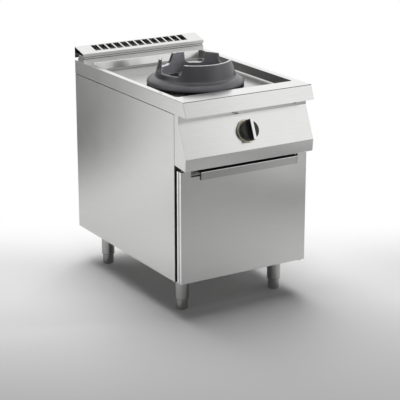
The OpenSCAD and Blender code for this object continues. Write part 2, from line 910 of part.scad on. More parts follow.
// Bush from z0 to z1 with a bore from bore_z0 to bore_z1
module door_bush(z0, z1, bore_z0, bore_z1) {
    translate([hinge_x, hinge_y, 0])
    difference() {
        translate([0, 0, z0])
        cylinder(r = bush_r, h = z1 - z0);
        translate([0, 0, bore_z0])
        cylinder(r = hinge_pin_r + shaft_gap, h = bore_z1 - bore_z0);
    }
}
module door_bush_upper() {
    color("white")
    door_bush(door_z1 - bush_l, door_z1, door_z1 - hinge_pin_l - 1, door_z1 + past);
}
// The lower bush stands on its bracket and carries the door
module door_bush_lower() {
    color("white")
    door_bush(leg_h + clear, door_z0 + bush_l, leg_h - past, door_z0 + hinge_pin_l + 1);
}

// Hinges and catch

upper_z = door_z1 + 3;
module hinge_bracket_upper() {
    color("silver")
    translate([hinge_x, 0, 0]) {
        slab(-bracket_w / 2, bracket_w / 2, body_front_d, body_front_d + 3,
            upper_z - 18, upper_z + bracket_t);
        limits(-bracket_w / 2, bracket_w / 2, hinge_y, ahead(body_front_d), upper_z, upper_z + bracket_t);
        translate([0, hinge_y, upper_z])
        cylinder(r = bracket_w / 2, h = bracket_t);
        translate([0, hinge_y, door_z1 - hinge_pin_l])
        cylinder(r = hinge_pin_r, h = upper_z + bracket_t - door_z1 + hinge_pin_l - 1);
    }
}
module hinge_bracket_lower() {
    z0 = leg_h - bracket_t;
    color("silver")
    translate([hinge_x, 0, 0]) {
        limits(-bracket_w / 2, bracket_w / 2, hinge_y, ahead(body_front_d - 20), z0, leg_h);
        translate([0, hinge_y, z0])
        cylinder(r = bracket_w / 2, h = bracket_t);
        translate([0, hinge_y, z0 + 1])
        cylinder(r = hinge_pin_r, h = door_z0 + hinge_pin_l - z0 - 1);
    }
}
catch_z = door_z1 - 90;
catch_x = -door_half + 3;
strike_t = 1;
module magnet_catch() {
    color("dimgray")
    slab(catch_x, catch_x + 16, body_front_d, door_back_d - strike_t - clear, catch_z, catch_z + 48);
}
module strike_plate() {
    color("silver")
    slab(catch_x - 1, catch_x + 19, door_back_d - strike_t, door_back_d, catch_z - 4, catch_z + 52);
}

// Legs and feet

module at_leg(side, d) {
    translate([side * leg_x, ahead(d), 0]) children();
}
screw_inset = 10;
module leg(side, d) {
    color("silver")
    at_leg(side, d)
    difference() {
        union() {
            translate([0, 0, foot_h])
            cylinder(r = leg_r, h = leg_h - foot_h - 0.01);
            limits(-leg_plate_w / 2, leg_plate_w / 2, -leg_plate_w / 2, leg_plate_w / 2,
                leg_h - leg_plate_t, leg_h);
        }
        translate([0, 0, foot_h + guide_l])
        cylinder(r = leg_r - leg_wall, h = leg_h - leg_plate_t - foot_h - guide_l);
        translate([0, 0, foot_h - past])
        cylinder(r = stem_r + shaft_gap, h = guide_l + 2 * past);
        for (sx = [-1, 1], sy = [-1, 1])
            translate([sx * (leg_plate_w / 2 - screw_inset), sy * (leg_plate_w / 2 - screw_inset),
                leg_h - leg_plate_t - past])
            cylinder(r = 3.3, h = leg_plate_t + 2 * past);
    }
}
module foot(side, d) {
    color("silver")
    at_leg(side, d) {
        rotate_extrude()
        polygon(concat([[0, 0], [foot_r - foot_round, 0]],
            [for (a = [-75 : 15 : 0])
                [foot_r - foot_round + foot_round * cos(a), foot_round + foot_round * sin(a)]],
            [[foot_r, foot_h], [0, foot_h]]));
        translate([0, 0, foot_h - 0.01])
        cylinder(r = stem_r, h = stem_l);
    }
}
module leg_front_left() { leg(-1, leg_front_d); }
module leg_front_right() { leg(1, leg_front_d); }
module leg_rear_left() { leg(-1, leg_rear_d); }
module leg_rear_right() { leg(1, leg_rear_d); }
module foot_front_left() { foot(-1, leg_front_d); }
module foot_front_right() { foot(1, leg_front_d); }
module foot_rear_left() { foot(-1, leg_rear_d); }
module foot_rear_right() { foot(1, leg_rear_d); }
module leg_screws() {
    z0 = leg_h - leg_plate_t;
    color("gray")
    for (side = [-1, 1], d = [leg_front_d, leg_rear_d])
        at_leg(side, d)
        for (sx = [-1, 1], sy = [-1, 1])
            translate([sx * (leg_plate_w / 2 - screw_inset), sy * (leg_plate_w / 2 - screw_inset), 0]) {
                translate([0, 0, z0 - 4])
                cylinder(r = 5.5, h = 4, $fn = 6);
                translate([0, 0, z0 - 0.01])
                cylinder(r = 3, h = leg_plate_t);
            }
}

side_panel_left();
side_panel_right();
back_panel();
base_panel();
front_post_left();
front_post_right();
front_rail();
cupboard_ceiling();
worktop();
flue_riser();
flue_cap();
control_panel();
panel_screws();
knob_bezel();
gas_valve();
valve_bracket();
spindle_collar();
valve_spindle();
knob();
knob_strip();
gas_pipe();
gas_inlet();
burner_pipe();
injector();
pilot_pipe();
pilot_burner();
thermocouple();
burner_well();
burner_body();
burner_screws();
burner_cap();
wok_ring();
door_skin();
door_pan();
door_handle();
door_bush_upper();
door_bush_lower();
strike_plate();
magnet_catch();
hinge_bracket_upper();
hinge_bracket_lower();
leg_front_left();
leg_front_right();
leg_rear_left();
leg_rear_right();
leg_screws();
foot_front_left();
foot_front_right();
foot_rear_left();
foot_rear_right();
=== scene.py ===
import json
import math
from collections import namedtuple

import bmesh
import bpy
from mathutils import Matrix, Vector


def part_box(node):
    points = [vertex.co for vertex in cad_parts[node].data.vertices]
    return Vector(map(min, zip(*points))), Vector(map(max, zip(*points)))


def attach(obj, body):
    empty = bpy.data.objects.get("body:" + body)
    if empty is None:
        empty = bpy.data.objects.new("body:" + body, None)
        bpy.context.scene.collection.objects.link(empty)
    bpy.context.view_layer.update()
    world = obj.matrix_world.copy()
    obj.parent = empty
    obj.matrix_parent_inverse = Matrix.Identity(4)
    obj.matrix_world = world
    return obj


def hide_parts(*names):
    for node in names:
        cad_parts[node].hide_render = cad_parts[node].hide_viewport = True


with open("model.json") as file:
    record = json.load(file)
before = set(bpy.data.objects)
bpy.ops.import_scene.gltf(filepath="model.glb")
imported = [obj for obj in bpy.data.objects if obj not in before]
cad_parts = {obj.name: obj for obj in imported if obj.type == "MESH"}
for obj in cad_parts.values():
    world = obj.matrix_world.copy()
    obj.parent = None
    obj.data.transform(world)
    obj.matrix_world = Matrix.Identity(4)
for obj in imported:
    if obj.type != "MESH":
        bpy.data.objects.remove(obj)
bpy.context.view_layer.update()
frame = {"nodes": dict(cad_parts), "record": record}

nodes = frame["nodes"]
# The body that each CAD node rides on
bodies = {name: body for body, group in frame["record"]["behaviour"]["bodies"].items() for name in group}

# Places on the range

MM = 0.001
# The frame's Y of the range's back; its front faces -Y
BACK_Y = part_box("flue_cap")[1].y
Reach = namedtuple("Reach", "left right back front bottom top")


def ahead(d):
    """Frame Y of a place d millimetres forward of the range's back."""
    return BACK_Y - d * MM


def reach(node):
    """How far a CAD node reaches, in millimetres; back and front are counted from the range's back."""
    low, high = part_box(node)
    sides = (low.x, high.x, BACK_Y - high.y, BACK_Y - low.y, low.z, high.z)
    return Reach(*(round(side / MM, 2) for side in sides))


def spot(v):
    """A point's place on the range in millimetres: x, distance forward of the back, height."""
    return v[0] / MM, (BACK_Y - v[1]) / MM, v[2] / MM


def near(value, target, slack=0.3):
    """Whether two lengths in millimetres agree."""
    return abs(value - target) < slack


# Heights end in Z and distances forward of the back in D, all in millimetres
PANEL = reach("control_panel")
RING = reach("wok_ring")
RING_D = (RING.back + RING.front) / 2
# The basin's floor, which the ring stands on
FLOOR_Z = RING.bottom
# The worktop's height, the fold of its nose, and the basin's edges at the top
TOP_Z = 900
NOSE_D = 902
BASIN_BACK_D = 98
BASIN_FRONT_D = 810
BASIN_HALF_W = 273
# The control panel's slanted face runs from the foot of the recess over it down to its lip
SLANT_Z = 812
SLANT_D = 867
LIP_Z = 677
LIP_FOOT_D = 920
SLANT = math.atan2(PANEL.front - SLANT_D, SLANT_Z - LIP_Z)
# The knob's centre lies this far down the slanted face
KNOB_DOWN = 71

# Materials


def linear(code):
    """Linear colour of an sRGB hex code."""
    parts = [int(code[i:i + 2], 16) / 255 for i in (1, 3, 5)]
    return [p / 12.92 if p <= 0.04045 else ((p + 0.055) / 1.055) ** 2.4 for p in parts] + [1.0]


def add(tree, kind, sockets=None, stops=(), **settings):
    """Adds a node with its settings, and gives its sockets values or other nodes' outputs.

    A colour ramp also takes its stops, as pairs of position and colour."""
    node = tree.nodes.new(kind)
    for key, value in settings.items():
        setattr(node, key, value)
    for key, source in (sockets or {}).items():
        if isinstance(source, bpy.types.NodeSocket):
            tree.links.new(source, node.inputs[key])
        else:
            node.inputs[key].default_value = source
    if stops:
        elements = node.color_ramp.elements
        while len(elements) < len(stops):
            elements.new(0.5)
        for element, (place, code) in zip(elements, stops):
            element.position = place
            element.color = linear(code)
    return node


def new_material(name):
    """A new material and its emptied node tree."""
    material = bpy.data.materials.new(name)
    material.use_nodes = True
    material.node_tree.nodes.clear()
    return material, material.node_tree


def brushed_sheet(name, along, dark, light, rough):
    """Metal sheet ground along one axis: fine scratches, long in that axis, on a blurred mirror."""
    material, tree = new_material(name)
    place = add(tree, "ShaderNodeTexCoord").outputs["Object"]
    # A scratch is about 70 mm long; across the grain it is drawn 0.9 mm wide so that it shows
    scale = [1 / (0.9 * MM)] * 3
    scale["XYZ".index(along)] = 1 / (70 * MM)
    grain_place = add(tree, "ShaderNodeMapping", {"Vector": place, "Scale": scale})
    grain = add(tree, "ShaderNodeTexNoise",
                {"Vector": grain_place.outputs["Vector"], "Scale": 1.0, "Detail": 3.0, "Roughness": 0.6})
    # Rolling leaves faint clouds a hand's breadth across
    cloud = add(tree, "ShaderNodeTexNoise", {"Vector": place, "Scale": 1 / (140 * MM), "Detail": 2.0})
    tone = add(tree, "ShaderNodeValToRGB", {"Fac": grain.outputs["Fac"]}, stops=[(0.3, dark), (0.7, light)])
    gloss = add(tree, "ShaderNodeMapRange",
                {"Value": cloud.outputs["Fac"], "To Min": rough - 0.03, "To Max": rough + 0.03})
    relief = add(tree, "ShaderNodeBump",
                 {"Height": grain.outputs["Fac"], "Strength": 0.05, "Distance": 0.2 * MM})
    shader = add(tree, "ShaderNodeBsdfPrincipled",
                 {"Base Color": tone.outputs["Color"], "Roughness": gloss.outputs["Result"],
                  "Normal": relief.outputs["Normal"], "Metallic": 1.0})
    add(tree, "ShaderNodeOutputMaterial", {"Surface": shader.outputs["BSDF"]})
    return material


def basin_steel():
    """Deep-drawn stainless basin with a dark ring round the burner: heat tint under the ring, and painted
    contact shade just past its foot.
    """
    material, tree = new_material("stainless_basin_tint_and_painted_shade")
    place = add(tree, "ShaderNodeTexCoord").outputs["Object"]
    centred = add(tree, "ShaderNodeMapping",
                  {"Vector": place, "Location": (0, -ahead(RING_D), 0), "Scale": (1, 1, 0)})
    apart = add(tree, "ShaderNodeVectorMath", {0: centred.outputs["Vector"]}, operation="LENGTH")
    # The tint's clouds are about 33 mm across
    cloud = add(tree, "ShaderNodeTexNoise", {"Vector": place, "Scale": 1 / (33 * MM), "Detail": 3.0})
    # Distance from the burner in metres, uneven by up to 20 mm
    wobble = add(tree, "ShaderNodeMath",
                 {0: cloud.outputs["Fac"], 1: 20 * MM, 2: apart.outputs["Value"]}, operation="MULTIPLY_ADD")
    # Dark heat tint under the ring, and painted contact shade in the brown-grey band just past its foot
    tone = add(tree, "ShaderNodeValToRGB", {"Fac": wobble.outputs["Value"]},
               stops=[(0.172, "#4a4848"), (0.19, "#585250"), (0.197, "#8a7c70"), (0.206, "#d8d8d7")])
    gloss = add(tree, "ShaderNodeMapRange", {"Value": cloud.outputs["Fac"], "To Min": 0.18, "To Max": 0.24})
    shader = add(tree, "ShaderNodeBsdfPrincipled",
                 {"Base Color": tone.outputs["Color"], "Roughness": gloss.outputs["Result"],
                  "Metallic": 1.0})
    add(tree, "ShaderNodeOutputMaterial", {"Surface": shader.outputs["BSDF"]})
    return material


def plain_metal(name, base, dull, rough):
    """Machined, drawn or plated metal with slightly duller spots."""
    material, tree = new_material(name)
    place = add(tree, "ShaderNodeTexCoord").outputs["Object"]
    # Spots from handling and plating are about 14 mm across
    spots = add(tree, "ShaderNodeTexNoise", {"Vector": place, "Scale": 1 / (14 * MM), "Detail": 4.0})
    tone = add(tree, "ShaderNodeValToRGB", {"Fac": spots.outputs["Fac"]}, stops=[(0.35, dull), (0.65, base)])
    gloss = add(tree, "ShaderNodeMapRange",
                {"Value": spots.outputs["Fac"], "To Min": rough + 0.07, "To Max": rough - 0.05})
    shader = add(tree, "ShaderNodeBsdfPrincipled",
                 {"Base Color": tone.outputs["Color"], "Roughness": gloss.outputs["Result"],
                  "Metallic": 1.0})
    add(tree, "ShaderNodeOutputMaterial", {"Surface": shader.outputs["BSDF"]})
    return material


def cast_iron(name, dark, light, rough):
    """Sand-cast iron under heat-proof paint: fine sand relief, uneven gloss, faint clouds."""
    material, tree = new_material(name)
    place = add(tree, "ShaderNodeTexCoord").outputs["Object"]
    # Moulding sand is about 0.3 mm; it is drawn at 1.6 mm so that it shows
    sand = add(tree, "ShaderNodeTexNoise",
               {"Vector": place, "Scale": 1 / (1.6 * MM), "Detail": 3.0, "Roughness": 0.65})
    # The paint's clouds are about 55 mm across
    cloud = add(tree, "ShaderNodeTexNoise", {"Vector": place, "Scale": 1 / (55 * MM), "Detail": 3.0})
    tone = add(tree, "ShaderNodeValToRGB", {"Fac": cloud.outputs["Fac"]}, stops=[(0.3, dark), (0.7, light)])
    gloss = add(tree, "ShaderNodeMapRange",
                {"Value": sand.outputs["Fac"], "To Min": rough - 0.08, "To Max": rough + 0.08})
    relief = add(tree, "ShaderNodeBump",
                 {"Height": sand.outputs["Fac"], "Strength": 0.12, "Distance": 0.6 * MM})
    shader = add(tree, "ShaderNodeBsdfPrincipled",
                 {"Base Color": tone.outputs["Color"], "Roughness": gloss.outputs["Result"],
                  "Normal": relief.outputs["Normal"], "Metallic": 0.15, "IOR": 1.7})
    add(tree, "ShaderNodeOutputMaterial", {"Surface": shader.outputs["BSDF"]})
    return material


def plastic(name, dark, light, rough):
    """Moulded plastic or rubber with the fine spark-eroded texture of its mould."""
    material, tree = new_material(name)
    place = add(tree, "ShaderNodeTexCoord").outputs["Object"]
    # The mould's grit is about 0.1 mm; it is drawn at 0.8 mm so that it shows
    grit = add(tree, "ShaderNodeTexNoise", {"Vector": place, "Scale": 1 / (0.8 * MM), "Detail": 2.0})
    tone = add(tree, "ShaderNodeValToRGB", {"Fac": grit.outputs["Fac"]}, stops=[(0.3, dark), (0.7, light)])
    relief = add(tree, "ShaderNodeBump",
                 {"Height": grit.outputs["Fac"], "Strength": 0.08, "Distance": 0.2 * MM})
    shader = add(tree, "ShaderNodeBsdfPrincipled",
                 {"Base Color": tone.outputs["Color"], "Roughness": rough,
                  "Normal": relief.outputs["Normal"]})
    add(tree, "ShaderNodeOutputMaterial", {"Surface": shader.outputs["BSDF"]})
    return material


# Front sheet ground from side to side: hair-fine level streaks over a soft mirror
STEEL_FRONT = brushed_sheet("stainless_brushed_across", "X", "#dadad9", "#e2e2e1", 0.2)
# Side sheet ground from front to back: streaks along its depth, a touch duller than in front
STEEL_SIDE = brushed_sheet("stainless_brushed_along_depth", "Y", "#dadad9", "#e2e2e1", 0.22)
# Door sheet ground from side to side, made greyer than the panel over it as painted shade
STEEL_DOOR_PAINTED_SHADE = brushed_sheet("stainless_door_painted_shade", "X", "#d0d0cf", "#d8d8d7", 0.22)
# Worktop sheet after a finer grit, with the clearest reflections; made the palest one as painted light
STEEL_TOP_PAINTED_LIGHT = brushed_sheet("stainless_top_painted_light", "X", "#e6e6e5", "#f0f0ef", 0.16)
# Satin fascia of the flue: it shows light and shade but no reflected shapes
STEEL_SATIN = brushed_sheet("stainless_satin_fascia", "X", "#e6e6e5", "#f0f0ef", 0.55)
# The door's grip, ground along its length, made a grey line over the paler door as painted shade
STEEL_GRIP_PAINTED_SHADE = brushed_sheet("stainless_grip_painted_shade", "X", "#b4b4b3", "#bcbcbb", 0.22)
# Drawn tube polished while it turned: bright and dark bands down the legs
STEEL_ROUND = brushed_sheet("stainless_turned_tube", "Z", "#aeaead", "#b8b8b7", 0.18)
# Sheet as it left the mill, on the inside: pale and dull
STEEL_INNER = brushed_sheet("stainless_mill_finish", "Z", "#d6d6d5", "#e0e0df", 0.5)
# Painted shade deep in gaps, corners and pockets: dark grey, so that they read as depth
STEEL_PAINTED_SHADE = brushed_sheet("stainless_painted_shade", "Z", "#5c5c5b", "#6a6a69", 0.45)
# Painted shade on pressed walls of the basin: a mid-grey face beside the bright ones
STEEL_WALL_PAINTED_SHADE = brushed_sheet("stainless_wall_painted_shade", "X", "#8e8e8d", "#9a9a99", 0.35)
# Painted highlight on sheared and folded edges: a thin line, brighter than the brushed face beside it
STEEL_PAINTED_HIGHLIGHT = plain_metal("stainless_edge_painted_highlight", "#fafafa", "#f0f0f0", 0.2)
# Painted shade on the tight fold of the nose: a thin dark line along it
STEEL_FOLD_PAINTED_SHADE = plain_metal("stainless_fold_painted_shade", "#6a6a69", "#5c5c5b", 0.4)
# Deep-drawn and smooth: a clear mirror, brown-black near the flame from heat tint, with painted contact
# shade just round the ring's foot
STEEL_BASIN = basin_steel()
# Flue steel dulled by hot gas and darkened further as painted shade: a warm dark grey behind the slots
FLUE_STEEL_PAINTED_SHADE = plain_metal("stainless_heat_dulled_painted_shade", "#8c8a88", "#767472", 0.55)
# Burner well steel: a little darker and duller still
WELL_STEEL = plain_metal("stainless_darker_well", "#8a8886", "#747270", 0.55)
# Zinc plating: bluish grey with soft spots
ZINC = plain_metal("zinc_plated_steel", "#c2c4c8", "#a8aaae", 0.34)
# Turned brass: a warm yellow among the steel
BRASS = plain_metal("machined_brass", "#d6b36a", "#b8944c", 0.28)
# Drawn copper: reddish pipes, duller where they were handled
COPPER = plain_metal("drawn_copper_tube", "#cf8a62", "#a9694a", 0.34)
# Anodised aluminium: a pale golden ring with a satin shine
CHAMPAGNE = plain_metal("anodised_champagne_aluminium", "#f2ecd8", "#e4deca", 0.42)
# Brushed aluminium strip: the whitest line, along the knob's grip
STRIP = brushed_sheet("brushed_aluminium_strip", "X", "#e2e2e2", "#f2f2f2", 0.25)
# Heat-proof paint on rough iron: charcoal grey with a broad soft shine on the domed flange
IRON = cast_iron("painted_cast_iron", "#323235", "#3c3c3f", 0.3)
# Painted light: inside the ring the iron is a lighter and duller grey
IRON_INNER_PAINTED_LIGHT = cast_iron("cast_iron_inside_painted_light", "#6c6c70", "#7c7c80", 0.6)
# Painted contact shadow: the ring's lowest edge is black, and dark against the basin
IRON_FOOT_PAINTED_SHADOW = cast_iron("cast_iron_foot_painted_shadow", "#060606", "#0c0c0c", 0.75)
# Painted highlights: bright lines along the crown
IRON_PAINTED_HIGHLIGHT = plain_metal("cast_iron_painted_highlight", "#ececee", "#d8d8da", 0.3)
# A black line without shine round the bezel's side
BEZEL_SIDE_BLACK = plastic("black_bezel_side", "#040404", "#080808", 0.8)
# Thermoset pressed in a polished mould: deep black with small clear highlights
KNOB_BLACK = plastic("moulded_black_thermoset", "#101011", "#19191a", 0.34)
# Moulded nylon: dull black
BLACK = plastic("black_nylon", "#141414", "#1c1c1c", 0.5)
# Undyed nylon: off-white, like ivory
NYLON = plastic("natural_nylon", "#dcdad0", "#e8e6dd", 0.45)

# CAD nodes that keep their own shape
CAD_FINISH = {
    STEEL_INNER: ["back_panel", "base_panel", "cupboard_ceiling"],
    # Painted shade on the posts and rail seen through the door's gap
    STEEL_PAINTED_SHADE: ["front_post_left", "front_post_right", "front_rail"],
    WELL_STEEL: ["burner_well"],
    ZINC: ["valve_bracket", "spindle_collar", "burner_screws", "strike_plate", "hinge_bracket_upper",
           "hinge_bracket_lower", "leg_screws"],
    BRASS: ["gas_valve", "valve_spindle", "gas_inlet", "injector", "pilot_burner"],
    COPPER: ["gas_pipe", "burner_pipe", "pilot_pipe", "thermocouple"],
    BLACK: ["magnet_catch"],
    NYLON: ["door_bush_upper", "door_bush_lower"],
}
for material, names in CAD_FINISH.items():
    for name in names:
        slots = nodes[name].data.materials
        slots.clear()
        slots.append(material)

# Ways of working on a piece

# An edge that turns by less than this lies within a flat face
FLAT = math.radians(12)


def only(piece):
    """Selects one object and nothing else, in object mode."""
    if bpy.context.object and bpy.context.object.mode != "OBJECT":
        close_mesh()
    bpy.ops.object.select_all(action="DESELECT")
    piece.select_set(True)
    bpy.context.view_layer.objects.active = piece


def open_mesh(piece, kind="VERT", action="SELECT"):
    """Goes into edit mode with all or none of the mesh selected."""
    only(piece)
    bpy.ops.object.mode_set(mode="EDIT")
    bpy.ops.mesh.select_mode(type=kind)
    bpy.ops.mesh.select_all(action=action)


def close_mesh():
    bpy.ops.object.mode_set(mode="OBJECT")


def choose(piece, kind, wanted):
    """In edit mode, selects the parts of one kind that pass a test."""
    mesh = bmesh.from_edit_mesh(piece.data)
    for part in {"VERT": mesh.verts, "EDGE": mesh.edges, "FACE": mesh.faces}[kind]:
        if wanted(part):
            part.select_set(True)
    bmesh.update_edit_mesh(piece.data)


def pick(piece, kind, wanted):
    """Goes into edit mode and selects the parts of one kind whose corners all pass a test by their place.

    Edges within a flat face are passed over."""

    def passes(part):
        corners = [part.co] if kind == "VERT" else [v.co for v in part.verts]
        crease = kind != "EDGE" or part.calc_face_angle(0) > FLAT
        return crease and all(wanted(*spot(c)) for c in corners)

    open_mesh(piece, kind, "DESELECT")
    choose(piece, kind, passes)


def round_edges(piece, width, wanted):
    """Rounds the edges whose ends both pass a test; the width is in millimetres."""
    pick(piece, "EDGE", wanted)
    bpy.ops.mesh.bevel(offset=width * MM, segments=4, affect="EDGES", clamp_overlap=False)
    close_mesh()


def ease(piece, width, segments=2, angle=35, clamp=False):
    """Takes the sharpness off every edge that still turns by more than the angle."""
    only(piece)
    soft = piece.modifiers.new("eased_edges", "BEVEL")
    soft.width = width * MM
    soft.segments = segments
    soft.limit_method = "ANGLE"
    soft.angle_limit = math.radians(angle)
    soft.use_clamp_overlap = clamp
    soft.harden_normals = False
    bpy.ops.object.modifier_apply(modifier=soft.name)


def settle(piece):
    """Puts a piece's place, turn and size into its mesh."""
    only(piece)
    bpy.ops.object.transform_apply(location=True, rotation=True, scale=True)


def clean(piece):
    """Merges doubles and turns all faces outwards."""
    open_mesh(piece)
    bpy.ops.mesh.remove_doubles(threshold=0.02 * MM)
    bpy.ops.mesh.normals_make_consistent(inside=False)
    close_mesh()


def block(centre, size, name="block"):
    """A plain block, placed and sized in metres, to be cut from a piece, joined to it or shaped."""
    bpy.ops.mesh.primitive_cube_add(size=1, location=centre)
    piece = bpy.context.object
    piece.name = name
    piece.scale = size
    settle(piece)
    return piece


def copy_of(node, name):
    """A merged copy of a CAD node's mesh, with its flat faces whole."""
    piece = bpy.data.objects.new(name, nodes[node].data.copy())
    bpy.context.collection.objects.link(piece)
    only(piece)
    bpy.ops.mesh.customdata_custom_splitnormals_clear()
    open_mesh(piece)
    bpy.ops.mesh.remove_doubles(threshold=0.01 * MM)
    bpy.ops.mesh.dissolve_limited(angle_limit=math.radians(0.4))
    close_mesh()
    return piece


def split(piece, at, across):
    """Splits the faces along a plane, so that no flat face runs all round a hole."""
    open_mesh(piece)
    bpy.ops.mesh.bisect(plane_co=at, plane_no=across)
    close_mesh()


def cut(piece, tool, how="DIFFERENCE"):
    """Cuts a piece by a tool, or joins the tool to it, and removes the tool."""
    only(piece)
    change = piece.modifiers.new("cut", "BOOLEAN")
    change.operation = how
    change.solver = "EXACT"
    change.object = tool
    bpy.ops.object.modifier_apply(modifier=change.name)
    bpy.data.objects.remove(tool)


def hand_over(piece, material, node, angle=32):
    """Gives a finished piece its surface, its shading and the CAD node whose place it takes."""
    only(piece)
    bpy.ops.object.shade_smooth_by_angle(angle=math.radians(angle))
    # Flat sheet stays flat up to its rounded edges
    even = piece.modifiers.new("flat_faces_lead", "WEIGHTED_NORMAL")
    even.keep_sharp = True
    bpy.ops.object.modifier_apply(modifier=even.name)
    piece.data.materials.clear()
    piece.data.materials.append(material)
    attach(piece, bodies[node])
    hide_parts(node)


def finish(piece, material, wanted):
    """Gives the faces that pass a test, by their middle and normal, another finish."""
    slots = piece.data.materials
    if material.name not in slots:
        slots.append(material)
    index = slots.find(material.name)
    for face in piece.data.polygons:
        if wanted(*spot(face.center), face.normal):
            face.material_index = index


# Sheet-metal pieces


def worktop():
    at = reach("worktop")
    # The nose comes forward by this much for each millimetre down
    lean = (at.front - NOSE_D) / (TOP_Z - at.bottom)
    middle_d = (BASIN_BACK_D + BASIN_FRONT_D) / 2
    piece = copy_of("worktop", "worktop_pressed")
    split(piece, (0, ahead(middle_d), 0), (0, 1, 0))
    split(piece, (0, ahead(middle_d), 0), (1, 0, 0))

    def across_floor(edge):
        """Edges that cross the basin's flat floor, apart from the two lines that it is split along."""
        ends = [spot(v.co) for v in edge.verts]
        on_line = (all(near(x, 0, 0.05) for x, d, z in ends)
                   or all(near(d, middle_d, 0.05) for x, d, z in ends))
        flat = edge.calc_face_angle(1) < math.radians(0.5)
        return flat and not on_line and all(near(z, FLOOR_Z) for x, d, z in ends)

    open_mesh(piece, "EDGE", "DESELECT")
    choose(piece, "EDGE", across_floor)
    bpy.ops.mesh.dissolve_edges(use_verts=False)
    close_mesh()
    # Folds of the nose, then of the sides and their slanted front ends
    round_edges(piece, 2.4, lambda x, d, z: near(z, TOP_Z) and near(d, NOSE_D))
    round_edges(piece, 1.2, lambda x, d, z: abs(x) > at.right - 0.3 and near(z, TOP_Z) and d < NOSE_D - 1)
    round_edges(piece, 2.0, lambda x, d, z: abs(x) > at.right - 0.3 and z < TOP_Z - 2
                and near(d, NOSE_D + (TOP_Z - z) * lean, 0.6))
    # Pressed rim and floor of the basin, but not the burner's opening in the floor
    round_edges(piece, 3.0, lambda x, d, z: near(z, TOP_Z) and abs(x) < BASIN_HALF_W + 0.4
                and BASIN_BACK_D - 0.4 < d < BASIN_FRONT_D + 0.4)
    round_edges(piece, 8.0, lambda x, d, z: near(z, FLOOR_Z) and math.hypot(x, d - RING_D) > RING.right)
    # The worktop's paleness is painted light
    hand_over(piece, STEEL_TOP_PAINTED_LIGHT, "worktop")
    finish(piece, STEEL_SIDE, lambda x, d, z, n: abs(x) > at.right - 0.1)
    finish(piece, STEEL_FRONT, lambda x, d, z, n: n.y < -0.9 and d > NOSE_D)
    # Painted shade: a thin dark line along the nose's fold
    finish(piece, STEEL_FOLD_PAINTED_SHADE, lambda x, d, z, n: 0.25 < -n.y < 0.9 and -3 < d - NOSE_D < 2.5
           and z > TOP_Z - 4)
    # The basin's dark ring is heat tint under the ring and painted contact shade round its foot
    finish(piece, STEEL_BASIN, lambda x, d, z, n: z < TOP_Z - 1.5 and abs(x) < BASIN_HALF_W
           and BASIN_BACK_D < d < BASIN_FRONT_D)
    # Satin front of the upstand; painted shade at the foot of the basin's rear wall, on its right wall and
    # in the corners of its walls
    finish(piece, STEEL_SATIN, lambda x, d, z, n: n.y < -0.7 and d < BASIN_BACK_D - 8 and z > TOP_Z - 1)
    finish(piece, STEEL_WALL_PAINTED_SHADE, lambda x, d, z, n: z < FLOOR_Z + 9 and d < BASIN_BACK_D + 32
           and 0.1 < -n.y < 0.96)
    finish(piece, STEEL_WALL_PAINTED_SHADE, lambda x, d, z, n: FLOOR_Z + 4 < z < TOP_Z - 1 and x > BASIN_HALF_W - 11
           and n.x < -0.8)
    finish(piece, STEEL_PAINTED_SHADE, lambda x, d, z, n: FLOOR_Z + 3 < z < TOP_Z - 1
           and BASIN_BACK_D < d < BASIN_FRONT_D and min(abs(n.x), abs(n.y)) > 0.15)


def control_panel():
    piece = copy_of("control_panel", "control_panel_folded")
    round_edges(piece, 3.0, lambda x, d, z: near(z, LIP_Z) and near(d, PANEL.front))
    round_edges(piece, 2.4, lambda x, d, z: near(z, PANEL.bottom) and near(d, LIP_FOOT_D))
    round_edges(piece, 2.0, lambda x, d, z: near(z, SLANT_Z) and near(d, SLANT_D))
    ease(piece, 0.6)
    hand_over(piece, STEEL_FRONT, "control_panel")


def side_panels():
    # Width of the open joint to the worktop's skirt and to the control panel
    joint = 2.4
    for hand in ("left", "right"):
        node = "side_panel_" + hand
        at = reach(node)
        piece = copy_of(node, "side_sheet_" + hand)
        pick(piece, "VERT", lambda x, d, z: near(z, at.top))
        bpy.ops.transform.translate(value=(0, 0, -joint * MM))
        pick(piece, "VERT", lambda x, d, z: near(d, at.front))
        bpy.ops.transform.translate(value=(0, joint * MM, 0))
        close_mesh()
        ease(piece, 0.6)
        hand_over(piece, STEEL_SIDE, node)
        # Painted highlight along the sheet's front edge
        finish(piece, STEEL_PAINTED_HIGHLIGHT, lambda x, d, z, n: n.y < -0.3)


def door_sheets():
    at = reach("door_skin")
    # The pocket behind the grip, in the top edge: half its width, and its height
    pocket_half, pocket_h = 252.6, 27
    skin = copy_of("door_skin", "door_front_sheet")
    round_edges(skin, 2.2, lambda x, d, z: near(d, at.front) and abs(x) > at.right - 0.3)
    round_edges(skin, 2.2, lambda x, d, z: near(d, at.front) and (near(z, at.bottom) or near(z, at.top)))
    ease(skin, 0.4)
    # The door's greyer sheet is painted shade
    hand_over(skin, STEEL_DOOR_PAINTED_SHADE, "door_skin")
    # Painted highlights on the side edges, and painted shade in the pocket
    finish(skin, STEEL_PAINTED_HIGHLIGHT, lambda x, d, z, n: abs(n.x) > 0.8 and abs(x) > at.right - 7
           and d < at.front - 4)
    finish(skin, STEEL_PAINTED_SHADE, lambda x, d, z, n: abs(x) < pocket_half and z > at.top - pocket_h
           and d < at.front - 0.4)
    pan = copy_of("door_pan", "door_rear_pan")
    ease(pan, 0.5)
    # Painted shade: the pan's greyer sheet, and painted highlights on its side edges
    hand_over(pan, STEEL_DOOR_PAINTED_SHADE, "door_pan")
    finish(pan, STEEL_PAINTED_HIGHLIGHT, lambda x, d, z, n: abs(x) > at.right - 1)


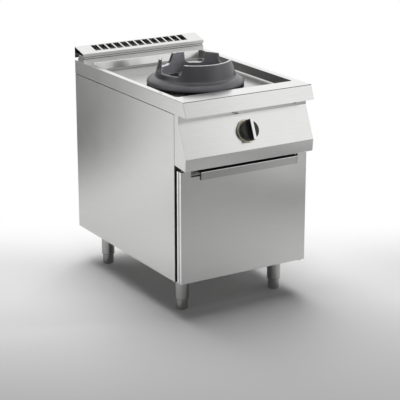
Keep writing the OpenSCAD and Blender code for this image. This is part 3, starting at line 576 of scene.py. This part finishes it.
def door_handle():
    at = reach("door_handle")
    handle = copy_of("door_handle", "door_handle_folded")
    # The grip's ends are folded back: the folds' place, thickness and depth
    ear_x, ear_t, ear_d = 226.75, 1.5, 10.2
    for side in (-1, 1):
        centre = (side * ear_x * MM, ahead(at.front - ear_d / 2), (at.bottom + at.top) / 2 * MM)
        cut(handle, block(centre, (ear_t * MM, ear_d * MM, (at.top - at.bottom) * MM)), "UNION")
    round_edges(handle, 1.8, lambda x, d, z: near(z, at.top) and near(d, at.front))
    ease(handle, 0.4)
    hand_over(handle, STEEL_GRIP_PAINTED_SHADE, "door_handle")
    # The grip's greyer steel is painted shade; behind the grip, on its ends and under it lies more painted
    # shade, and its top fold has a painted highlight
    grip_d, fold_z = at.front - 2.4, at.top - 2.4
    finish(handle, STEEL_PAINTED_SHADE, lambda x, d, z, n: d < grip_d and n.z > 0.5 or abs(n.x) > 0.7 or n.z < -0.7)
    finish(handle, STEEL_PAINTED_HIGHLIGHT, lambda x, d, z, n: z > fold_z and d > grip_d and n.z > 0.1)


def flue_cap():
    at = reach("flue_cap")
    # Height of the sloping cap's front edge
    front_z = 938
    fall = (at.top - front_z) / at.front
    piece = copy_of("flue_cap", "flue_cap_slotted")
    round_edges(piece, 2.0, lambda x, d, z: near(z, at.top) and near(d, at.back))
    round_edges(piece, 2.0, lambda x, d, z: near(z, front_z) and near(d, at.front))
    ease(piece, 0.4, clamp=True)
    # The cap's paleness is painted light
    hand_over(piece, STEEL_TOP_PAINTED_LIGHT, "flue_cap")
    # Inside its outer faces the cap is dulled by hot gas and darkened further as painted shade
    piece.data.materials.append(FLUE_STEEL_PAINTED_SHADE)
    pick(piece, "FACE", lambda x, d, z: 1.2 < d < at.front - 1.1 and z < at.top - d * fall - 1.2)
    piece.active_material_index = 1
    bpy.ops.object.material_slot_assign()
    close_mesh()
    finish(piece, STEEL_SATIN, lambda x, d, z, n: n.y < -0.7 and d > at.front - 0.7)


def flue_riser():
    at = reach("flue_riser")
    piece = copy_of("flue_riser", "flue_riser_box")
    round_edges(piece, 2.0, lambda x, d, z: abs(x) > at.right - 0.5
                and (near(d, at.back) or near(d, at.front)))
    # Open joints over the worktop's upstand and under the cap's fascia
    lower_z, upper_z, joint_h = 915.2, 922.8, 2.2
    for joint_z in (lower_z, upper_z):
        cut(piece, block((0, ahead(at.front), joint_z * MM), (592.8 * MM, 2.6 * MM, joint_h * MM)))
    # The riser's paleness is painted light
    hand_over(piece, STEEL_TOP_PAINTED_LIGHT, "flue_riser")
    finish(piece, STEEL_SATIN, lambda x, d, z, n: n.y < -0.7)
    # Painted shade in the open joints, and inside the riser heat-dulled steel darkened further as painted
    # shade
    finish(piece, STEEL_PAINTED_SHADE, lambda x, d, z, n: at.front - 2 < d < at.front - 0.1
           and lower_z - joint_h < z < upper_z + joint_h)
    finish(piece, FLUE_STEEL_PAINTED_SHADE, lambda x, d, z, n: abs(x) < at.right - 1.1
           and at.back + 1.2 < d < at.front - 1.4)


def panel_screws():
    piece = copy_of("panel_screws", "panel_screw_heads")
    ease(piece, 0.5)
    hand_over(piece, ZINC, "panel_screws")


# Cast iron


def turned(name, profile, at, steps):
    """A body of revolution: a point is extruded along the profile and spun round the upright axis."""
    bpy.ops.mesh.primitive_plane_add(size=MM, location=(0, 0, 0))
    piece = bpy.context.object
    piece.name = name
    open_mesh(piece)
    bpy.ops.mesh.merge(type="CENTER")
    place = Vector((0, 0, 0))
    for i, (r, z) in enumerate(profile):
        goal = Vector((r * MM, 0, z * MM))
        if i == 0:
            bpy.ops.transform.translate(value=goal - place)
        else:
            bpy.ops.mesh.extrude_vertices_move(TRANSFORM_OT_translate={"value": goal - place})
        place = goal
    bpy.ops.mesh.select_all(action="SELECT")
    bpy.ops.mesh.spin(steps=steps, angle=math.tau, center=(0, 0, 0), axis=(0, 0, 1))
    close_mesh()
    piece.location = at
    clean(piece)
    settle(piece)
    return piece


def smooth_profile(stations, per_gap=5):
    """A smooth curve that passes through all the stations."""
    full = [stations[0]] + list(stations) + [stations[-1]]
    points = []
    for a, b, c, d in zip(full, full[1:], full[2:], full[3:]):
        for k in range(per_gap):
            t = k / per_gap
            points.append(tuple(
                0.5 * (2 * b[n] + (c[n] - a[n]) * t + (2 * a[n] - 5 * b[n] + 4 * c[n] - d[n]) * t ** 2
                       + (3 * b[n] - a[n] - 3 * c[n] + d[n]) * t ** 3) for n in (0, 1)))
    points.append(tuple(stations[-1]))
    return points


def crown_gap(start, end, centre):
    """Wedge for one gap of the crown between two angles, wider upwards and rounded at the foot."""
    # It reaches from the ring's open middle to past its flange, and its sides lean outwards
    inside, past, height = 120 * MM, 240 * MM, 120 * MM
    middle, half = math.radians((start + end) / 2), math.radians((end - start) / 2)
    lean = math.radians(7.5)
    bpy.ops.mesh.primitive_plane_add(size=1, location=(0, 0, 0))
    wedge = bpy.context.object
    far = past / math.cos(half)
    corners = [(inside, middle - half), (far, middle - half), (inside, middle + half), (far, middle + half)]
    for vertex, (r, a) in zip(wedge.data.vertices, corners):
        vertex.co = (r * math.cos(a), r * math.sin(a), 0)
    open_mesh(wedge)
    bpy.ops.mesh.extrude_region_move(TRANSFORM_OT_translate={"value": (0, 0, height)})
    for vertex in bmesh.from_edit_mesh(wedge.data).verts:
        x, y, z = vertex.co
        if z > height / 2:
            turn = lean if math.sin(math.atan2(y, x) - middle) > 0 else -lean
            vertex.co.x = x * math.cos(turn) - y * math.sin(turn)
            vertex.co.y = x * math.sin(turn) + y * math.cos(turn)

    def lower_side(edge):
        """The two lower edges that run outwards."""
        one, two = (v.co for v in edge.verts)
        along = abs(math.hypot(one.x, one.y) - math.hypot(two.x, two.y))
        return one.z < 10 * MM and two.z < 10 * MM and along > 50 * MM

    bpy.ops.mesh.select_mode(type="EDGE")
    bpy.ops.mesh.select_all(action="DESELECT")
    choose(wedge, "EDGE", lower_side)
    bpy.ops.mesh.bevel(offset=20 * MM, segments=10, affect="EDGES", clamp_overlap=False)
    close_mesh()
    wedge.location = centre
    clean(wedge)
    settle(wedge)
    return wedge


def wok_ring():
    # Outlines as radius and height over the basin's floor: the domed flange, a soft crease and the wall
    # leaning in to the crown, then down the inside, and the hollow under the flange
    outer = smooth_profile([(198.6, 3.6), (200.8, 5.6), (202, 9.5), (200.9, 14), (197.2, 19.8), (191, 25),
                            (183.5, 29), (176, 31.6), (170.4, 33.2), (166.8, 36.4), (164.4, 43),
                            (160.6, 59), (155.6, 81), (150.5, 101)])
    inner = smooth_profile([(139, 101), (140.5, 83), (143, 62), (147, 46), (152, 28), (156.5, 15), (158, 6)])
    hollow = smooth_profile([(164, 5), (166, 13), (171.5, 20), (180, 19), (187, 13.5), (192, 8.5), (194, 4)])
    crown = [(149.5, 103.4), (147.5, 104), (141.5, 104), (139.7, 103.2)]
    foot, rim = [(159.5, 4), (162.5, 4)], [(195.6, 3.2), (197.6, 3.2)]
    profile = outer + crown + inner + foot + hollow + rim + [outer[0]]
    # Height of the gaps' lower ends over the basin's floor
    gap_floor = 56
    centre = (0, ahead(RING_D), FLOOR_Z * MM)
    piece = turned("wok_ring_cast", profile, centre, steps=120)
    for start, end in ((44.5, 75.5), (104.5, 135.5), (164.5, 217), (323, 375.5)):
        cut(piece, crown_gap(start, end, (centre[0], centre[1], (FLOOR_Z + gap_floor) * MM)))
    # Moulded iron has no sharp corner: the cut form is rebuilt on a fine grid and relaxed
    only(piece)
    grid = piece.modifiers.new("cast_skin", "REMESH")
    grid.mode = "VOXEL"
    grid.voxel_size = 2.05 * MM
    bpy.ops.object.modifier_apply(modifier=grid.name)
    relax = piece.modifiers.new("rounded", "SMOOTH")
    relax.factor = 0.5
    relax.iterations = 3
    bpy.ops.object.modifier_apply(modifier=relax.name)
    # Four pads keep the flange off the worktop
    circle_r, pad_r, pad_h, pad_z = 196.5 * MM, 4.5 * MM, 4 * MM, 2.1 * MM
    for turn in (45, 135, 225, 315):
        a = math.radians(turn)
        place = (centre[0] + circle_r * math.cos(a), centre[1] + circle_r * math.sin(a), centre[2] + pad_z)
        bpy.ops.mesh.primitive_cylinder_add(vertices=24, radius=pad_r, depth=pad_h, location=place)
        pad = bpy.context.object
        settle(pad)
        ease(pad, 0.6)
        only(piece)
        pad.select_set(True)
        bpy.ops.object.join()
    hand_over(piece, IRON, "wok_ring", angle=60)

    def outward(x, d, n):
        """How much a face looks away from the ring's axis, from -1 to 1."""
        return (x * n.x - (d - RING_D) * n.y) / math.hypot(x, d - RING_D)

    def painted_highlight_faces(x, d, z, n):
        """Faces on top of the crown, and at the sides on the floors of the gaps too."""
        return n.z > 0.8 and z > FLOOR_Z + (98 if abs(x) > 120 else 50)

    # Painted light inside the ring, a painted contact shadow along its lowest edge, and painted highlights
    # on top of the crown
    finish(piece, IRON_INNER_PAINTED_LIGHT, lambda x, d, z, n: outward(x, d, n) < -0.3)
    finish(piece, IRON_FOOT_PAINTED_SHADOW, lambda x, d, z, n: z < FLOOR_Z + 8.4)
    finish(piece, IRON_PAINTED_HIGHLIGHT, painted_highlight_faces)


def burner():
    for node, name, soft in (("burner_body", "burner_casting", 1.0),
                             ("burner_cap", "burner_cap_casting", 0.6)):
        piece = copy_of(node, name)
        ease(piece, soft, angle=40)
        hand_over(piece, IRON, node)


# Knob, modelled upright and then set on the slanted panel


def set_on_slant(piece):
    piece.rotation_euler = (math.pi / 2 - SLANT, 0, 0)
    piece.location = (0, ahead(SLANT_D + KNOB_DOWN * math.sin(SLANT)),
                      (SLANT_Z - KNOB_DOWN * math.cos(SLANT)) * MM)
    settle(piece)


def knob_bezel():
    thick = 5 * MM
    bpy.ops.mesh.primitive_cylinder_add(vertices=96, radius=47.5 * MM, depth=thick,
                                        location=(0, 0, thick / 2))
    bezel = bpy.context.object
    bezel.name = "knob_bezel_turned"
    settle(bezel)
    # A raised rim round a shallow recess, and a ring in the recess's floor
    open_mesh(bezel, "FACE", "DESELECT")
    choose(bezel, "FACE", lambda face: face.normal.z > 0.9)
    bpy.ops.mesh.inset(thickness=8.5 * MM)
    bpy.ops.mesh.extrude_region_move(TRANSFORM_OT_translate={"value": (0, 0, -1.5 * MM)})
    bpy.ops.mesh.inset(thickness=25 * MM)
    close_mesh()
    ease(bezel, 0.6)
    set_on_slant(bezel)
    hand_over(bezel, CHAMPAGNE, "knob_bezel")
    # Its side is dull black
    facing = Vector((0, -math.cos(SLANT), math.sin(SLANT)))
    finish(bezel, BEZEL_SIDE_BLACK, lambda x, d, z, n: abs(n.dot(facing)) < 0.25)


def knob():
    # A round disc with the grip bar across it, and the bright strip along the bar
    bpy.ops.mesh.primitive_cylinder_add(vertices=96, radius=38 * MM, depth=19 * MM,
                                        location=(0, 0, 18.5 * MM))
    disc = bpy.context.object
    disc.name = "knob_moulding"
    settle(disc)
    cut(disc, block((0, 0, 29.5 * MM), (14 * MM, 84 * MM, 35 * MM)), "UNION")
    ease(disc, 1.4, segments=3)
    set_on_slant(disc)
    hand_over(disc, KNOB_BLACK, "knob")
    strip = block((0, 0, 47.75 * MM), (12 * MM, 83 * MM, 1.5 * MM), "knob_pointer_strip")
    ease(strip, 0.4)
    set_on_slant(strip)
    hand_over(strip, STRIP, "knob_strip")


# Legs and feet


def legs():
    for place in ("front_left", "front_right", "rear_left", "rear_right"):
        at = reach("leg_" + place)
        middle_x, middle_d = (at.left + at.right) / 2, (at.back + at.front) / 2

        def outside(x, d, r):
            return math.hypot(x - middle_x, d - middle_d) > r

        leg = copy_of("leg_" + place, "leg_tube_" + place)
        round_edges(leg, 1.5, lambda x, d, z: near(z, at.bottom) and outside(x, d, 26))
        hand_over(leg, STEEL_ROUND, "leg_" + place)
        # Painted shade at the tube's mouth
        finish(leg, STEEL_PAINTED_SHADE, lambda x, d, z, n: z < at.bottom + 2.5)
        foot = copy_of("foot_" + place, "foot_turned_" + place)
        round_edges(foot, 1.2, lambda x, d, z: near(z, at.bottom) and outside(x, d, 20))
        hand_over(foot, STEEL_ROUND, "foot_" + place)


# The range, piece by piece

worktop()
control_panel()
side_panels()
door_sheets()
door_handle()
flue_cap()
flue_riser()
panel_screws()
wok_ring()
burner()
knob_bezel()
knob()
legs()

# Floor, light and camera


def seen(tree, rays):
    """1 for what the camera sees, directly, mirrored or through glass, and 0 for light on other things."""
    eye = add(tree, "ShaderNodeMath", {0: rays.outputs["Is Camera Ray"], 1: rays.outputs["Is Glossy Ray"]},
              operation="MAXIMUM")
    return add(tree, "ShaderNodeMath", {0: eye.outputs["Value"], 1: rays.outputs["Is Transmission Ray"]},
               operation="MAXIMUM").outputs["Value"]


def stage_floor():
    # So wide that its edge is lost in the white
    bpy.ops.mesh.primitive_plane_add(size=90.0, location=(0, 0, 0))
    floor = bpy.context.object
    floor.name = "studio_floor"
    material, tree = new_material("pale_studio_floor")
    place = add(tree, "ShaderNodeNewGeometry").outputs["Position"]
    rays = add(tree, "ShaderNodeLightPath")
    # Metres behind the object's middle along the photograph's line of sight
    sight = (0.522, 0.853, 0.0)
    apart = add(tree, "ShaderNodeVectorMath", {0: place, 1: sight}, operation="DOT_PRODUCT")
    # Painted shade: the floor's colour turns greyer in front of the object
    along = add(tree, "ShaderNodeMapRange",
                {"Value": apart.outputs["Value"], "From Min": -1.5, "From Max": 1.0})
    floor_tone_and_painted_shade = add(tree, "ShaderNodeValToRGB", {"Fac": along.outputs["Result"]},
                stops=[(0.0, "#b8b8b8"), (0.12, "#c6c6c6"), (0.5, "#e6e6e6"), (0.65, "#e6e6e6")])
    matt = add(tree, "ShaderNodeBsdfDiffuse", {"Color": floor_tone_and_painted_shade.outputs["Color"]})
    white = add(tree, "ShaderNodeEmission", {"Color": linear("#ffffff"), "Strength": 1.0})
    dark = add(tree, "ShaderNodeEmission", {"Color": linear("#1c1c1c"), "Strength": 1.0})
    # Past the object the floor fades to white, and for the camera also far round it
    fade = add(tree, "ShaderNodeMapRange",
               {"Value": apart.outputs["Value"], "From Min": 0.1, "From Max": 0.75},
               interpolation_type="SMOOTHSTEP")
    behind = add(tree, "ShaderNodeMath", {0: fade.outputs["Result"], 1: seen(tree, rays)},
                 operation="MULTIPLY")
    off = add(tree, "ShaderNodeVectorMath", {0: place}, operation="LENGTH")
    off = add(tree, "ShaderNodeMapRange", {"Value": off.outputs["Value"], "From Min": 1.3, "From Max": 4.0},
              interpolation_type="SMOOTHSTEP")
    around = add(tree, "ShaderNodeMath", {0: off.outputs["Result"], 1: rays.outputs["Is Camera Ray"]},
                 operation="MULTIPLY")
    pale = add(tree, "ShaderNodeMath", {0: behind.outputs["Value"], 1: around.outputs["Value"]},
               operation="MAXIMUM")
    blend = add(tree, "ShaderNodeMixShader",
                {"Fac": pale.outputs["Value"], 1: matt.outputs["BSDF"], 2: white.outputs["Emission"]})
    # A painted reflection: a dark band on the floor behind the object, on the left and right alike, seen
    # only by mirror rays, darkens the sides' steel;
    # this unit vector goes across the band, inwards and back
    across_x, across_y = -0.851, 0.525
    parts = add(tree, "ShaderNodeSeparateXYZ", {0: place})
    halves = add(tree, "ShaderNodeVectorMath", {0: place}, operation="ABSOLUTE")
    sides = add(tree, "ShaderNodeSeparateXYZ", {0: halves.outputs["Vector"]})
    inwards = add(tree, "ShaderNodeMath", {0: sides.outputs["X"], 1: across_x}, operation="MULTIPLY")
    band = add(tree, "ShaderNodeMath", {0: parts.outputs["Y"], 1: across_y, 2: inwards.outputs["Value"]},
               operation="MULTIPLY_ADD")
    near_edge = add(tree, "ShaderNodeMapRange",
                    {"Value": band.outputs["Value"], "From Min": -0.42, "From Max": 0.1},
                    interpolation_type="SMOOTHSTEP")
    far_edge = add(tree, "ShaderNodeMapRange",
                   {"Value": band.outputs["Value"], "From Min": 1.1, "From Max": 0.6},
                   interpolation_type="SMOOTHSTEP")
    depth = add(tree, "ShaderNodeMapRange",
                {"Value": parts.outputs["Y"], "From Min": 1.0, "From Max": 2.3,
                 "To Min": 0.28, "To Max": 0.84},
                interpolation_type="SMOOTHSTEP")
    shade = add(tree, "ShaderNodeMath", {0: near_edge.outputs["Result"], 1: far_edge.outputs["Result"]},
                operation="MULTIPLY")
    shade = add(tree, "ShaderNodeMath", {0: shade.outputs["Value"], 1: depth.outputs["Result"]},
                operation="MULTIPLY")
    shade = add(tree, "ShaderNodeMath", {0: shade.outputs["Value"], 1: rays.outputs["Is Glossy Ray"]},
                operation="MULTIPLY")
    blend = add(tree, "ShaderNodeMixShader",
                {"Fac": shade.outputs["Value"], 1: blend.outputs["Shader"], 2: dark.outputs["Emission"]})
    # Painted reflections for mirror rays only: in front on the right, a dim patch on the floor, a bright one
    # beside it and a white patch for a wall behind
    for emitter, centre, inside, outside, most in ((dark, (1.1, -1.62, 0), 0.1, 0.5, 0.45),
                                                   (white, (1.32, -2.0, 0), 0.12, 0.36, 1.0),
                                                   (white, (1.6, -3.2, 0), 0.5, 0.95, 0.7)):
        away = add(tree, "ShaderNodeVectorMath", {0: place, 1: centre}, operation="DISTANCE")
        patch = add(tree, "ShaderNodeMapRange",
                    {"Value": away.outputs["Value"], "From Min": outside, "From Max": inside,
                     "To Max": most},
                    interpolation_type="SMOOTHSTEP")
        patch = add(tree, "ShaderNodeMath", {0: patch.outputs["Result"], 1: rays.outputs["Is Glossy Ray"]},
                    operation="MULTIPLY")
        blend = add(tree, "ShaderNodeMixShader",
                    {"Fac": patch.outputs["Value"], 1: blend.outputs["Shader"],
                     2: emitter.outputs["Emission"]})
    add(tree, "ShaderNodeOutputMaterial", {"Surface": blend.outputs["Shader"]})
    floor.data.materials.append(material)


def studio_world():
    world = bpy.data.worlds.new("studio")
    bpy.context.scene.world = world
    world.use_nodes = True
    tree = world.node_tree
    tree.nodes.clear()
    rays = add(tree, "ShaderNodeLightPath")
    dim = add(tree, "ShaderNodeBackground", {"Color": linear("#ffffff"), "Strength": 0.1})
    # Metal mirrors white walls, with a front wall less bright than the back one, and a dark flag on the
    # left behind and another one on the left in front
    sky = add(tree, "ShaderNodeTexCoord").outputs["Generated"]
    parts = add(tree, "ShaderNodeSeparateXYZ", {0: sky})
    front = add(tree, "ShaderNodeMapRange",
                {"Value": parts.outputs["Y"], "From Min": -0.2, "From Max": -0.6, "To Max": 0.25},
                interpolation_type="SMOOTHSTEP")
    shut = front.outputs["Result"]
    for towards, start, end, most in (((-0.58, 0.81, 0.0), 0.75, 0.93, 0.85),
                                      ((-0.6, -0.8, 0.0), 0.5, 0.8, 0.6)):
        leftwards = add(tree, "ShaderNodeVectorMath", {0: sky, 1: towards}, operation="DOT_PRODUCT")
        flag = add(tree, "ShaderNodeMapRange",
                   {"Value": leftwards.outputs["Value"], "From Min": start, "From Max": end, "To Max": most},
                   interpolation_type="SMOOTHSTEP")
        shut = add(tree, "ShaderNodeMath", {0: shut, 1: flag.outputs["Result"]},
                   operation="MAXIMUM").outputs["Value"]
    shut = add(tree, "ShaderNodeMath", {0: shut, 1: rays.outputs["Is Glossy Ray"]}, operation="MULTIPLY")
    walls = add(tree, "ShaderNodeValToRGB", {"Fac": shut.outputs["Value"]},
                stops=[(0.0, "#ffffff"), (1.0, "#282828")])
    bright = add(tree, "ShaderNodeBackground", {"Color": walls.outputs["Color"], "Strength": 1.0})
    blend = add(tree, "ShaderNodeMixShader",
                {"Fac": seen(tree, rays), 1: dim.outputs["Background"], 2: bright.outputs["Background"]})
    add(tree, "ShaderNodeOutputWorld", {"Surface": blend.outputs["Shader"]})


def softbox(name, place, target, size, power, grid=None, mirrored=True):
    """A square-cornered lamp; a grid narrows its light to an angle in degrees."""
    light = bpy.data.lights.new(name, "AREA")
    light.shape = "RECTANGLE"
    light.size, light.size_y = size
    light.energy = power
    if grid:
        light.spread = math.radians(grid)
    lamp = bpy.data.objects.new(name, light)
    bpy.context.collection.objects.link(lamp)
    lamp.location = place
    lamp.rotation_euler = (Vector(target) - Vector(place)).to_track_quat("-Z", "Y").to_euler()
    lamp.visible_glossy = mirrored


def lamps():
    # A large lamp overhead gives most of the light
    softbox("top_softbox", (0.4, 1.3, 5.4), (0, 0, 0.3), (3.6, 5.2), 325, mirrored=False)
    # Two small lamps with grids light the ring, and stay off the polished sheet
    softbox("ring_softbox", (-0.95, -1.6, 2.4), (0, 0, 0.93), (0.6, 0.6), 1.2, grid=35, mirrored=False)
    softbox("ring_softbox_right", (1.7, -1.2, 1.9), (0.05, 0, 0.9), (0.5, 0.5), 2.0, grid=35, mirrored=False)
    # A weak one in front on the right, which the metal mirrors
    softbox("front_softbox", (2.27, -2.46, 1.94), (0.67, 0.02, 0.745), (1.8, 1.8), 3.4)


def camera():
    # Place, focal length and turns were fitted to the photograph
    down, right = math.radians(17.67), math.radians(31.46)
    data = bpy.data.cameras.new("camera")
    data.lens = 132.7
    data.sensor_width = 36.0
    cam = bpy.data.objects.new("camera", data)
    bpy.context.collection.objects.link(cam)
    cam.location = (-3.087, -5.106, 2.249)
    cam.rotation_euler = (math.radians(90) - down, 0, -right)
    bpy.context.scene.camera = cam


stage_floor()
studio_world()
lamps()
camera()
bpy.context.scene.view_settings.view_transform = "Standard"
